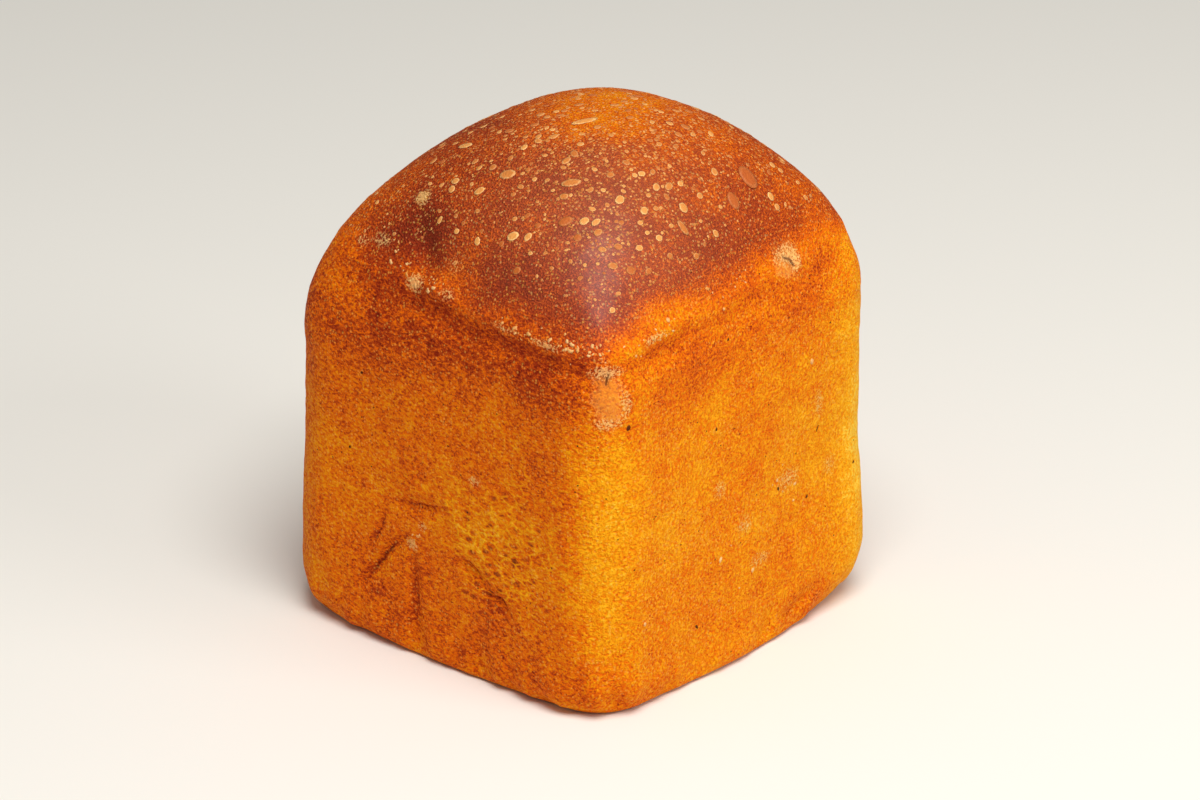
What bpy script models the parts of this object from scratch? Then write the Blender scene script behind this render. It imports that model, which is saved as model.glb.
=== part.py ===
"""Square white loaf, one solid of bread. It was baked in an open square tin: four walls held its sides
flat, and the dough rose above the rim as a browned dome. The loaf stands on z = 0, with its front towards
-Y and its right side towards +X. All sizes are in metres."""

import bmesh
import bpy
import numpy as np
from mathutils import noise

# Driving dimensions of the whole loaf
WIDTH = 0.112  # along X
DEPTH = 0.1096  # along Y
SHOULDER_HEIGHT = 0.1013  # where the tin's rim was and the dome starts
CROWN_RISE = 0.0349  # the dome's top above its shoulder

# How the sides stand: each is a change from the base to the shoulder, and the shoulder itself isn't level
WIDTH_TAPER = -0.0028
DEPTH_TAPER = -0.0015
SHOULDER_DROP_RIGHT = 0.0017
SHOULDER_RISE_BACK = 0.0032

# The dome: how square its plan is, how full its flanks are, and how far its top lies off the centre
CROWN_SQUARENESS = 2.34
CROWN_FULLNESS = 0.80
CROWN_SHIFT = (0.0075, 0.0020)
CROWN_EASE = 0.8  # scales height above the dome before it is blended with the sides

# Edge radii at the four corners: front right, front left, back right, back left
UPRIGHT_RADII = (0.0161, 0.0193, 0.0130, 0.0180)
SHOULDER_RADII = (0.0077, 0.0208, 0.0131, 0.0150)
BASE_RADII = (0.0106, 0.0135, 0.0240, 0.0120)
BASE_RADIUS_MIDWAY = 0.0040  # the bottom edge is tighter between the corners

# The mesh: a cube is cut into a fine grid, laid on the crust, given its relief and then thinned
GRID_CUTS = 79
TRIANGLES = 9600
CORE_HEIGHT = 0.07  # centre of the cube, from which its grid points are sent out to the crust
REACH = 1.8  # the crust lies nearer than this many times the cube's half size
HALVINGS = 26

# Broad unevenness of the dough: wavelength, and height on the sides
LUMPS = ((0.038, 0.0008), (0.016, 0.0003))
CROWN_LUMP_SHARE = 0.5  # the dome rose freely and is smoother than the sides
FLAT_FADE = 0.003  # relief fades out over this height above the base

# The lip that the dough left on the tin's rim, and the hollow just under it. It is plain near two corners
# only, climbs slowly away from the front right corner and isn't straight
LIP_HEIGHT = 0.0982
LIP_CLIMB = 0.045  # metres up for each metre from that corner
LIP_WOBBLE = 0.0011
LIP_RISE = 0.0006
LIP_WIDTH = 0.0020
LIP_HOLLOW_BELOW = 0.0056
LIP_HOLLOW = 0.0006
LIP_HOLLOW_WIDTH = 0.0032
LIP_LEAST = 0.15  # strength of the lip far from those corners
LIP_PATCH_LENGTH = 0.018  # wavelength along which the lip comes and goes
LIP_PATCH_SHARE = 0.7
LIP_CORNERS = ((0.051, -0.050, 0.058, 1.0), (-0.051, 0.050, 0.046, 0.8))  # x, y, how far it runs, strength

# Swellings of the crust: centre, radius along the crust, radius in height, rise
SWELLINGS = (
    ((0.0507, -0.0490, 0.0885), 0.0050, 0.0080, 0.0007),  # thin skin on the front right corner
    ((0.0518, 0.0184, 0.1026), 0.0070, 0.0060, 0.0009),  # thin skin on the right shoulder
    ((-0.0021, -0.0500, 0.1020), 0.0060, 0.0026, 0.0013),  # fold on the front shoulder
    ((-0.0186, -0.0380, 0.1186), 0.0030, 0.0030, 0.0005),  # largest blister of the dome
    ((0.0410, 0.0163, 0.1225), 0.0055, 0.0040, 0.0005),  # low blister on the dome's right
    ((0.0160, 0.0525, 0.1010), 0.0090, 0.0050, 0.0010),  # back shoulder
    ((-0.0250, 0.0515, 0.0985), 0.0060, 0.0050, 0.0008),
    ((-0.0520, 0.0100, 0.0980), 0.0080, 0.0055, 0.0010),  # left shoulder
    ((-0.0500, 0.0465, 0.0860), 0.0060, 0.0080, 0.0007),  # thin skin on the back left corner
    ((0.0540, 0.0440, 0.0430), 0.0260, 0.0220, -0.0018),  # hollow of the back right corner
)

# Creases of the crust: depth, half width and the few points that each runs through
CREASES = (
    # dent that runs down the front of the dome
    (0.0014, 0.0036, ((-0.0190, -0.0390, 0.1175), (-0.0112, -0.0458, 0.1102), (-0.0051, -0.0493, 0.1030))),
    # folds of the front, which meet in a point where the dough was closed
    (0.0011, 0.0018, ((-0.0093, -0.0551, 0.0340), (-0.0166, -0.0552, 0.0268), (-0.0257, -0.0554, 0.0148))),
    (0.0007, 0.0018, ((-0.0088, -0.0551, 0.0310), (-0.0078, -0.0553, 0.0170), (-0.0080, -0.0555, 0.0060))),
    (0.0006, 0.0020, ((-0.0150, -0.0549, 0.0420), (-0.0070, -0.0549, 0.0432), (0.0045, -0.0549, 0.0452))),
    (0.0007, 0.0018, ((0.0066, -0.0551, 0.0320), (0.0142, -0.0551, 0.0310), (0.0170, -0.0551, 0.0275))),
    (0.0007, 0.0018, ((0.0160, -0.0551, 0.0265), (0.0216, -0.0551, 0.0258), (0.0255, -0.0551, 0.0220))),
    # crease at the foot of the right side
    (0.0009, 0.0020, ((0.0568, 0.0270, 0.0100), (0.0571, 0.0200, 0.0068), (0.0571, 0.0120, 0.0060))),
    # folds of the back and of the left side
    (0.0011, 0.0019, ((0.0180, 0.0551, 0.0480), (0.0060, 0.0552, 0.0360), (-0.0040, 0.0553, 0.0180))),
    (0.0008, 0.0018, ((0.0060, 0.0552, 0.0360), (0.0110, 0.0553, 0.0200), (0.0120, 0.0554, 0.0070))),
    (0.0009, 0.0018, ((-0.0565, -0.0080, 0.0260), (-0.0560, 0.0040, 0.0330), (-0.0556, 0.0190, 0.0360))),
    (0.0012, 0.0036, ((-0.0440, 0.0180, 0.1100), (-0.0500, 0.0240, 0.1030), (-0.0530, 0.0280, 0.0960))),
)
CREASE_FADE = 0.35  # share of its length over which a crease fades out at each end

# Notches in the bottom edge, each at its place on the foot of a side
NOTCH_DEPTH = 0.0014
NOTCH_WIDTH = 0.0028
NOTCH_TOP = 0.009
NOTCHES = (
    (-0.0066, -0.0555),
    (0.0132, -0.0555),
    (0.0534, -0.0480),
    (0.0572, 0.0080),
    (0.0240, 0.0556),
    (-0.0190, 0.0556),
    (-0.0570, -0.0210),
    (-0.0570, 0.0220),
)

# Small ribs where the dough was squeezed into the bottom of the tin
RIB_DEPTH = 0.0006
RIB_SPACING = 0.0055
RIB_TOP = 0.014
RIB_STRETCH = 0.35  # the ribs run upwards: along Z their noise varies this much more slowly

CRUST_COLOUR = (0.62, 0.25, 0.035, 1.0)
CRUST_ROUGHNESS = 0.6


def rounded_meet(first, second, radius):
    """Distance to where two surfaces meet in an edge of that radius, negative inside both."""
    inside = np.minimum(np.maximum(first, second), -radius)
    return inside + np.hypot(np.maximum(first + radius, 0), np.maximum(second + radius, 0))


def by_corner(across, along, values):
    """Blend of the values of the four corners, at a place from -1 to 1 across and along the loaf."""
    right = np.clip(across, -1, 1) * 0.5 + 0.5
    back = np.clip(along, -1, 1) * 0.5 + 0.5
    front_right, front_left, back_right, back_left = values
    front = right * front_right + (1 - right) * front_left
    rear = right * back_right + (1 - right) * back_left
    return (1 - back) * front + back * rear


def dome_height(x, y, half_width, half_depth):
    """Height of the dome over a place in the plan."""
    across = x - CROWN_SHIFT[0] * (1 - np.clip(x / half_width, -1, 1) ** 2)
    along = y - CROWN_SHIFT[1] * (1 - np.clip(y / half_depth, -1, 1) ** 2)
    rise = CROWN_RISE
    for place, half in ((across, half_width), (along, half_depth)):
        share = np.clip(np.abs(place) / half, 0, 1)
        rise = rise * np.maximum(1 - share**CROWN_SQUARENESS, 0) ** CROWN_FULLNESS
    slope = SHOULDER_RISE_BACK * y / DEPTH - SHOULDER_DROP_RIGHT * x / WIDTH
    return SHOULDER_HEIGHT + slope + rise


def crust_distance(points):
    """How far points lie outside the smooth crust, negative inside it."""
    x, y, z = points.T
    level = z / SHOULDER_HEIGHT - 0.5
    half_width = WIDTH / 2 + WIDTH_TAPER * level
    half_depth = DEPTH / 2 + DEPTH_TAPER * level
    across = x / half_width
    along = y / half_depth
    upright = by_corner(across, along, UPRIGHT_RADII)
    past_x = np.abs(x) - (half_width - upright)
    past_y = np.abs(y) - (half_depth - upright)
    flat_part = np.minimum(np.maximum(past_x, past_y), 0)
    sides = np.hypot(np.maximum(past_x, 0), np.maximum(past_y, 0)) + flat_part - upright
    cornerness = np.clip(np.abs(across * along), 0, 1) ** 2
    corner_extra = (by_corner(across, along, BASE_RADII) - BASE_RADIUS_MIDWAY) * cornerness
    body = rounded_meet(sides, -z, BASE_RADIUS_MIDWAY + corner_extra)
    dome = (z - dome_height(x, y, half_width, half_depth)) * CROWN_EASE
    return rounded_meet(body, dome, by_corner(across, along, SHOULDER_RADII))


def laid_on_crust(directions):
    """Points on the crust where rays from the core in those directions leave it."""
    core = np.array((0.0, 0.0, CORE_HEIGHT))
    rays = directions * np.array((WIDTH / 2, DEPTH / 2, CORE_HEIGHT))
    near = np.zeros(len(rays))
    far = np.full(len(rays), REACH)
    for _ in range(HALVINGS):
        middle = (near + far) / 2
        inside = crust_distance(core + rays * middle[:, None]) < 0
        near = np.where(inside, middle, near)
        far = np.where(inside, far, middle)
    return core + rays * near[:, None]


def soft_noise(points, wavelength, shift=0.0):
    """Smooth noise between about -1 and 1, the same at each run."""
    places = points / wavelength + shift
    return np.array([noise.noise(place) for place in places.tolist()])


def bell(distance, width):
    return np.exp(-((distance / width) ** 2))


def groove(points, line, width):
    """Share of a groove's depth along a line through a few places: 1 on the line, fading at its ends."""
    nearest = np.full(len(points), np.inf)
    travelled = np.zeros(len(points))
    corners = np.array(line)
    steps = np.linalg.norm(np.diff(corners, axis=0), axis=1)
    for index, (start, end) in enumerate(zip(corners[:-1], corners[1:])):
        run = end - start
        share = np.clip((points - start) @ run / (run @ run), 0, 1)
        gap = np.linalg.norm(points - start - share[:, None] * run, axis=1)
        closer = gap < nearest
        nearest = np.where(closer, gap, nearest)
        travelled = np.where(closer, steps[:index].sum() + share * steps[index], travelled)
    from_end = np.minimum(travelled, steps.sum() - travelled) / (CREASE_FADE * steps.sum())
    return bell(nearest, width) * np.sqrt(np.clip(from_end, 0, 1))


def lumps(points):
    above_rim = np.clip((points[:, 2] - SHOULDER_HEIGHT) / CROWN_RISE, 0, 1)
    share = 1 - (1 - CROWN_LUMP_SHARE) * above_rim
    return sum(share * height * soft_noise(points, wavelength) for wavelength, height in LUMPS)


def lip(points):
    """The rim's lip and the hollow under it, which come and go along the loaf."""
    gaps = [np.hypot(points[:, 0] - x, points[:, 1] - y) for x, y, _, _ in LIP_CORNERS]
    strength = LIP_LEAST
    for gap, (_, _, reach, share) in zip(gaps, LIP_CORNERS):
        strength = strength + share * bell(gap, reach)
    patchiness = 1 + LIP_PATCH_SHARE * soft_noise(points, LIP_PATCH_LENGTH, shift=7.0)
    wobble = LIP_WOBBLE * soft_noise(points * np.array((1, 1, 0)), LIP_PATCH_LENGTH, shift=5.0)
    above = points[:, 2] - LIP_HEIGHT - LIP_CLIMB * gaps[0] - wobble
    bead = LIP_RISE * bell(above, LIP_WIDTH)
    hollow = LIP_HOLLOW * bell(above + LIP_HOLLOW_BELOW, LIP_HOLLOW_WIDTH)
    return strength * patchiness * (bead - hollow)


def swellings(points):
    total = np.zeros(len(points))
    for centre, along, upward, rise in SWELLINGS:
        offset = points - np.array(centre)
        level_gap = np.hypot(offset[:, 0], offset[:, 1]) / along
        total += rise * bell(np.hypot(level_gap, offset[:, 2] / upward), 1.0)
    return total


def creases(points):
    return -sum(depth * groove(points, line, width) for depth, width, line in CREASES)


def squeezed_foot(points):
    """Notches and small ribs of the bottom edge."""
    height = points[:, 2]
    total = np.zeros(len(points))
    for x, y in NOTCHES:
        gap = np.hypot(points[:, 0] - x, points[:, 1] - y)
        total -= NOTCH_DEPTH * bell(gap, NOTCH_WIDTH) * bell(height, NOTCH_TOP)
    ribs = soft_noise(points * np.array((1, 1, RIB_STRETCH)), RIB_SPACING, shift=3.0)
    return total + RIB_DEPTH * ribs * bell(height, RIB_TOP)


def relief(points):
    fade = np.clip(points[:, 2] / FLAT_FADE, 0, 1)
    total = lumps(points) + lip(points) + swellings(points) + creases(points) + squeezed_foot(points)
    return total * fade * fade * (3 - 2 * fade)


def crust_mesh():
    """Cube, cut into a grid, laid on the crust and given its relief."""
    shape = bmesh.new()
    bmesh.ops.create_cube(shape, size=2.0)
    bmesh.ops.subdivide_edges(shape, edges=shape.edges[:], cuts=GRID_CUTS, use_grid_fill=True)
    directions = np.array([vert.co[:] for vert in shape.verts])
    points = laid_on_crust(directions)
    for vert, point in zip(shape.verts, points.tolist()):
        vert.co = point
    shape.normal_update()
    normals = np.array([vert.normal[:] for vert in shape.verts])
    points = points + normals * relief(points)[:, None]
    points[:, 2] = np.maximum(points[:, 2], 0)
    for vert, point in zip(shape.verts, points.tolist()):
        vert.co = point
    mesh = bpy.data.meshes.new("loaf")
    shape.to_mesh(mesh)
    shape.free()
    return mesh


def thinned(loaf):
    """The loaf's mesh with few triangles where the crust is plain, and its base still flat on z = 0."""
    thin = loaf.modifiers.new("thin", "DECIMATE")
    thin.ratio = TRIANGLES / (2 * len(loaf.data.polygons))
    graph = bpy.context.evaluated_depsgraph_get()
    mesh = bpy.data.meshes.new_from_object(loaf.evaluated_get(graph))
    loaf.modifiers.clear()
    return mesh


def stood_at_origin(mesh):
    """Moves the mesh so that the middle of its box is over the origin and its base is on z = 0."""
    points = np.array([vert.co[:] for vert in mesh.vertices])
    low = points.min(axis=0)
    high = points.max(axis=0)
    points -= np.array(((low[0] + high[0]) / 2, (low[1] + high[1]) / 2, low[2]))
    mesh.vertices.foreach_set("co", points.ravel())
    mesh.update()


def crust_material():
    material = bpy.data.materials.new("crust")
    material.use_nodes = True
    shader = material.node_tree.nodes["Principled BSDF"]
    shader.inputs["Base Color"].default_value = CRUST_COLOUR
    shader.inputs["Roughness"].default_value = CRUST_ROUGHNESS
    shader.inputs["Metallic"].default_value = 0.0
    return material


def build():
    for thing in list(bpy.data.objects):
        bpy.data.objects.remove(thing, do_unlink=True)
    loaf = bpy.data.objects.new("loaf", crust_mesh())
    bpy.context.scene.collection.objects.link(loaf)
    loaf.data = thinned(loaf)
    loaf.data.name = "loaf"
    stood_at_origin(loaf.data)
    loaf.data.materials.append(crust_material())
    loaf.data.shade_smooth()


build()
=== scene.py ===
"""Square white loaf, baked in an open square tin: golden sides that the tin's walls held flat, and a browned
dome full of fine blisters that rose above the rim. The script dresses the plain solid of the loaf with its
crust, blisters, crumbs and specks. Lengths are in metres. +Z is up, the front faces -Y, and the right side
faces +X. The tables of spots and folds are in millimetres."""

import math

import bmesh
import bpy
import numpy as np
from mathutils import Matrix, Vector, noise
from mathutils.bvhtree import BVHTree


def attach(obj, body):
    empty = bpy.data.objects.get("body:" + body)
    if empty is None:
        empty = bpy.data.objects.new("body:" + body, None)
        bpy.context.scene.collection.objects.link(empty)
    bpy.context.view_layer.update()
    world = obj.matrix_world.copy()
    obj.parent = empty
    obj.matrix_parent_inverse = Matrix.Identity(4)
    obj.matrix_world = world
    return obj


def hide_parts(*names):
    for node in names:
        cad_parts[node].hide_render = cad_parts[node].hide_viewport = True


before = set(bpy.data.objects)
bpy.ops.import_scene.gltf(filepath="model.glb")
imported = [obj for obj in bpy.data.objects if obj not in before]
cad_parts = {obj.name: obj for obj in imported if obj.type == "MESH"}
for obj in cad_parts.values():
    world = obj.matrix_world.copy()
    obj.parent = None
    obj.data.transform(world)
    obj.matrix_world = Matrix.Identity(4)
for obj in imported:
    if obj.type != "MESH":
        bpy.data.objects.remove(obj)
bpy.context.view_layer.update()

# Body of the loaf: bread dough that four tin walls pressed flat, and that rose above their rim as a squarish
# dome. Its radii are given for each corner: front right, front left, back right and back left.
WIDTH = 0.112
DEPTH = 0.1096
SHOULDER_HEIGHT = 0.1013
CROWN_RISE = 0.0349
WIDTH_TAPER = -0.0028
DEPTH_TAPER = -0.0015
SHOULDER_DROP_RIGHT = 0.0017
SHOULDER_RISE_BACK = 0.0032
CROWN_SQUARENESS = 2.34
CROWN_FULLNESS = 0.8
CROWN_SHIFT = (0.0075, 0.002)
CROWN_EASE = 0.8
UPRIGHT_RADII = (0.0161, 0.0193, 0.013, 0.018)
SHOULDER_RADII = (0.0077, 0.0208, 0.0131, 0.015)
BASE_RADII = (0.0106, 0.0135, 0.024, 0.012)
BASE_RADIUS_MIDWAY = 0.004
GRID_CUTS = 127
CORE_HEIGHT = 0.07
REACH = 1.8
HALVINGS = 26


def rounded_meet(first, second, radius):
    """Distance to where two surfaces meet in an edge of that radius, negative inside both."""
    inside = np.minimum(np.maximum(first, second), -radius)
    return inside + np.hypot(np.maximum(first + radius, 0), np.maximum(second + radius, 0))


def by_corner(across, along, values):
    """Blend of the values of the four corners, at a place from -1 to 1 across and along the loaf."""
    right = np.clip(across, -1, 1) * 0.5 + 0.5
    back = np.clip(along, -1, 1) * 0.5 + 0.5
    front_right, front_left, back_right, back_left = values
    front = right * front_right + (1 - right) * front_left
    rear = right * back_right + (1 - right) * back_left
    return (1 - back) * front + back * rear


def dome_height(x, y, half_width, half_depth):
    """Height of the dome over a place in the plan."""
    across = x - CROWN_SHIFT[0] * (1 - np.clip(x / half_width, -1, 1) ** 2)
    along = y - CROWN_SHIFT[1] * (1 - np.clip(y / half_depth, -1, 1) ** 2)
    rise = CROWN_RISE
    for place, half in ((across, half_width), (along, half_depth)):
        share = np.clip(np.abs(place) / half, 0, 1)
        rise = rise * np.maximum(1 - share**CROWN_SQUARENESS, 0) ** CROWN_FULLNESS
    slope = SHOULDER_RISE_BACK * y / DEPTH - SHOULDER_DROP_RIGHT * x / WIDTH
    return SHOULDER_HEIGHT + slope + rise


def crust_distance(points):
    """How far points lie outside the smooth crust, negative inside it."""
    x, y, z = points.T
    level = z / SHOULDER_HEIGHT - 0.5
    half_width = WIDTH / 2 + WIDTH_TAPER * level
    half_depth = DEPTH / 2 + DEPTH_TAPER * level
    across = x / half_width
    along = y / half_depth
    upright = by_corner(across, along, UPRIGHT_RADII)
    past_x = np.abs(x) - (half_width - upright)
    past_y = np.abs(y) - (half_depth - upright)
    flat_part = np.minimum(np.maximum(past_x, past_y), 0)
    sides = np.hypot(np.maximum(past_x, 0), np.maximum(past_y, 0)) + flat_part - upright
    cornerness = np.clip(np.abs(across * along), 0, 1) ** 2
    corner_extra = (by_corner(across, along, BASE_RADII) - BASE_RADIUS_MIDWAY) * cornerness
    body = rounded_meet(sides, -z, BASE_RADIUS_MIDWAY + corner_extra)
    dome = (z - dome_height(x, y, half_width, half_depth)) * CROWN_EASE
    return rounded_meet(body, dome, by_corner(across, along, SHOULDER_RADII))


def laid_on_crust(directions):
    """Points on the crust where rays from the core in those directions leave it."""
    core = np.array((0.0, 0.0, CORE_HEIGHT))
    rays = directions * np.array((WIDTH / 2, DEPTH / 2, CORE_HEIGHT))
    near = np.zeros(len(rays))
    far = np.full(len(rays), REACH)
    for _ in range(HALVINGS):
        middle = (near + far) / 2
        inside = crust_distance(core + rays * middle[:, None]) < 0
        near = np.where(inside, middle, near)
        far = np.where(inside, far, middle)
    return core + rays * near[:, None]


def vertex_places(shape):
    return np.array([vert.co[:] for vert in shape.verts])


def move_vertices(shape, places):
    for vert, place in zip(shape.verts, places.tolist()):
        vert.co = place
    shape.normal_update()


def vertex_normals(shape):
    return np.array([vert.normal[:] for vert in shape.verts])


loaf = bmesh.new()
bmesh.ops.create_cube(loaf, size=2.0)
bmesh.ops.subdivide_edges(loaf, edges=loaf.edges[:], cuts=GRID_CUTS, use_grid_fill=True)
plain_form = laid_on_crust(vertex_places(loaf))
move_vertices(loaf, plain_form)

# Unevenness of the dough: broad lumps, the lip that it left on the tin's rim, swellings under the crust,
# creases where it was folded shut, and a foot squeezed into the tin's bottom edge.
LUMPS = ((0.038, 0.0008), (0.016, 0.0003))
CROWN_LUMP_SHARE = 0.5
FLAT_FADE = 0.003
LIP_HEIGHT = 0.0982
LIP_CLIMB = 0.045
LIP_WOBBLE = 0.0011
LIP_RISE = 0.0006
LIP_WIDTH = 0.002
LIP_HOLLOW_BELOW = 0.0056
LIP_HOLLOW = 0.0007
LIP_HOLLOW_WIDTH = 0.0032
LIP_LEAST = 0.15
LIP_PATCH_LENGTH = 0.018
LIP_PATCH_SHARE = 0.7
LIP_CORNERS = ((0.051, -0.05, 0.058, 1.0), (-0.051, 0.05, 0.046, 0.8))  # x, y, how far it runs, strength
MILLIMETRE = 0.001
SWELLINGS = (  # centre, radius along the crust, radius in height, rise
    ((50.7, -49, 88.5), 5, 8, 0.7),
    ((51.8, 18.4, 102.6), 7, 6, 0.9),
    ((-2.1, -50, 102), 6, 2.6, 1.3),
    ((-18.6, -38, 118.6), 3, 3, 0.5),
    ((41, 16.3, 122.5), 5.5, 4, 0.5),
    ((16, 52.5, 101), 9, 5, 1),
    ((-25, 51.5, 98.5), 6, 5, 0.8),
    ((-52, 10, 98), 8, 5.5, 1),
    ((-50, 46.5, 86), 6, 8, 0.7),
    ((54, 44, 43), 26, 22, -1.8),
)
BACK_FOLD = ((18, 55.1, 48), (6, 55.2, 36), (-4, 55.3, 18))
BACK_BRANCH = ((6, 55.2, 36), (11, 55.3, 20), (12, 55.4, 7))
LEFT_FOLD = ((-56.5, -8, 26), (-56, 4, 33), (-55.6, 19, 36))
CREASES = (  # depth, half width and the few points that each runs through
    (1.4, 3.6, ((-19, -39, 117.5), (-11.2, -45.8, 110.2), (-5.1, -49.3, 103))),
    (1.1, 1.8, ((-9.3, -55.1, 34), (-16.6, -55.2, 26.8), (-25.7, -55.4, 14.8))),
    (0.7, 1.8, ((-8.8, -55.1, 31), (-7.8, -55.3, 17), (-8, -55.5, 6))),
    (0.6, 2, ((-15, -54.9, 42), (-7, -54.9, 43.2), (4.5, -54.9, 45.2))),
    (0.7, 1.8, ((6.6, -55.1, 32), (14.2, -55.1, 31), (17, -55.1, 27.5))),
    (0.7, 1.8, ((16, -55.1, 26.5), (21.6, -55.1, 25.8), (25.5, -55.1, 22))),
    (0.9, 2, ((56.8, 27, 10), (57.1, 20, 6.8), (57.1, 12, 6))),
    (1.1, 1.9, BACK_FOLD),
    (0.8, 1.8, BACK_BRANCH),
    (0.9, 1.8, LEFT_FOLD),
    (1.2, 3.6, ((-44, 18, 110), (-50, 24, 103), (-53, 28, 96))),
)
CREASE_FADE = 0.35
NOTCH_DEPTH = 0.0014
NOTCH_WIDTH = 0.0028
NOTCH_TOP = 0.009
NOTCHES = (
    *((-0.0066, -0.0555), (0.0132, -0.0555), (0.0534, -0.048), (0.0572, 0.008)),
    *((0.024, 0.0556), (-0.019, 0.0556), (-0.057, -0.021), (-0.057, 0.022)),
)
RIB_DEPTH = 0.0013
RIB_SPACING = 0.0055
RIB_TOP = 0.014
RIB_INWARD = 0.4
RIB_STRETCH = 0.35


def soft_noise(points, wavelength, shift=0.0):
    """Smooth noise between about -1 and 1, the same at each run."""
    places = points / wavelength + shift
    return np.array([noise.noise(place) for place in places.tolist()])


def bell(distance, width):
    return np.exp(-((distance / width) ** 2))


def eased(share):
    """Smooth step from 0 to 1 as the share goes from 0 to 1."""
    held = np.clip(share, 0, 1)
    return held * held * (3 - 2 * held)


def plan_gap(points, x, y):
    """Distance from an upright line over a place in the plan."""
    return np.hypot(points[:, 0] - x, points[:, 1] - y)


def near_line(points, line, outward=None):
    """Gap to a line through a few places, the same gap signed by its side, and a fade at the line's ends.

    With the crust's normals given, the gap is measured along the crust.
    """
    nearest = np.full(len(points), np.inf)
    side = np.zeros(len(points))
    travelled = np.zeros(len(points))
    corners = np.array(line) * MILLIMETRE
    steps = np.linalg.norm(np.diff(corners, axis=0), axis=1)
    for index, (start, end) in enumerate(zip(corners[:-1], corners[1:])):
        run = end - start
        offset = points - start
        if outward is not None:
            offset = offset - (offset * outward).sum(axis=1)[:, None] * outward
        share = np.clip(offset @ run / (run @ run), 0, 1)
        offset = offset - share[:, None] * run
        gap = np.linalg.norm(offset, axis=1)
        left_of_run = outward is None or (np.cross(outward, run) * offset).sum(axis=1) > 0
        closer = gap < nearest
        nearest = np.where(closer, gap, nearest)
        side = np.where(closer, np.where(left_of_run, gap, -gap), side)
        travelled = np.where(closer, steps[:index].sum() + share * steps[index], travelled)
    from_end = np.minimum(travelled, steps.sum() - travelled) / (CREASE_FADE * steps.sum())
    return nearest, side, np.sqrt(np.clip(from_end, 0, 1))


def groove(points, line, width):
    """Share of a groove's depth along a line: 1 on the line, fading at its ends."""
    gap, _, fade = near_line(points, line)
    return bell(gap, width * MILLIMETRE) * fade


def patch(points, centre, along, upward):
    """Soft spot that is round along the crust and has its own radius in height."""
    offset = points / MILLIMETRE - np.array(centre)
    level_gap = np.hypot(offset[:, 0], offset[:, 1]) / along
    return bell(np.hypot(level_gap, offset[:, 2] / upward), 1.0)


def lumps(points):
    above_rim = np.clip((points[:, 2] - SHOULDER_HEIGHT) / CROWN_RISE, 0, 1)
    share = 1 - (1 - CROWN_LUMP_SHARE) * above_rim
    return sum(share * height * soft_noise(points, wavelength) for wavelength, height in LUMPS)


def lip_strength(points):
    total = LIP_LEAST
    for x, y, reach, share in LIP_CORNERS:
        total = total + share * bell(plan_gap(points, x, y), reach)
    return total


def height_over_lip(points):
    """Height above the lip's line, which climbs away from the front right corner and wavers."""
    x, y, _, _ = LIP_CORNERS[0]
    wobble = LIP_WOBBLE * soft_noise(points * np.array((1, 1, 0)), LIP_PATCH_LENGTH, shift=5.0)
    return points[:, 2] - LIP_HEIGHT - LIP_CLIMB * plan_gap(points, x, y) - wobble


def lip(points):
    """The rim's lip and the hollow under it, which come and go along the loaf."""
    patchiness = 1 + LIP_PATCH_SHARE * soft_noise(points, LIP_PATCH_LENGTH, shift=7.0)
    above = height_over_lip(points)
    bead = LIP_RISE * bell(above, LIP_WIDTH)
    hollow = LIP_HOLLOW * bell(above + LIP_HOLLOW_BELOW, LIP_HOLLOW_WIDTH)
    return lip_strength(points) * patchiness * (bead - hollow)


def swellings(points):
    rises = (rise * patch(points, centre, along, upward) for centre, along, upward, rise in SWELLINGS)
    return MILLIMETRE * sum(rises)


def creases(points):
    return -MILLIMETRE * sum(depth * groove(points, line, width) for depth, width, line in CREASES)


def squeezed_foot(points):
    """Notches and small ribs of the bottom edge."""
    height = points[:, 2]
    total = np.zeros(len(points))
    for x, y in NOTCHES:
        total -= NOTCH_DEPTH * bell(plan_gap(points, x, y), NOTCH_WIDTH) * bell(height, NOTCH_TOP)
    ribs = soft_noise(points * np.array((1, 1, RIB_STRETCH)), RIB_SPACING, shift=3.0)
    return total + RIB_DEPTH * (ribs - RIB_INWARD) * bell(height, RIB_TOP)


foot_fade = eased(plain_form[:, 2] / FLAT_FADE)
relief = lumps(plain_form) + lip(plain_form) + swellings(plain_form) + creases(plain_form)
relief = (relief + squeezed_foot(plain_form)) * foot_fade
form = plain_form + vertex_normals(loaf) * relief[:, None]
form[:, 2] = np.maximum(form[:, 2], 0)
middle = (form.min(axis=0) + form.max(axis=0)) / 2 * np.array((1, 1, 0))
form -= middle
move_vertices(loaf, form)

# Fine crust: the skin of the dough dried into small crags. On the front a field of coarse cells shows where
# the dough had dragged on the tin, and the closing folds have sharp lips.
CRAGS = ((0.0068, 0.00016), (0.0034, 0.00014), (0.0019, 0.00009))
CRAG_SHARE_ON_DOME = 0.45
FOLD_LINE_DEPTH = 0.0007
FOLD_LINE_WIDTH = 0.0012
FOLD_OVERLAP = 0.6
FOLD_REACH = 0.003
CELLS_CENTRE = (0.022, -0.0548, 0.04)
CELLS_RADIUS = 0.0172
CELL_SIZE = 0.0024
CELL_DEPTH = 0.0003
CELL_LEVEL = 0.6  # share of the cells' depth that sinks into the crust
CELL_SLANT = (0.62, 0.0, -0.78)  # direction in which the cells were dragged
CELL_STRETCH = 0.55
CELLS_WAVER = (0.009, 0.5)  # wavelength and strength of the field's ragged edge
CROWN_START = 0.002  # how far below the lip the dome's crust begins
CROWN_BLEND = 0.013  # and over what height it takes over
CROWN_WAVER = (0.012, 0.003)  # wavelength and height of that border
BASE_HOLLOWS = (0.009, 0.0004)  # wavelength and depth of the shallow hollows of the underside
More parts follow.
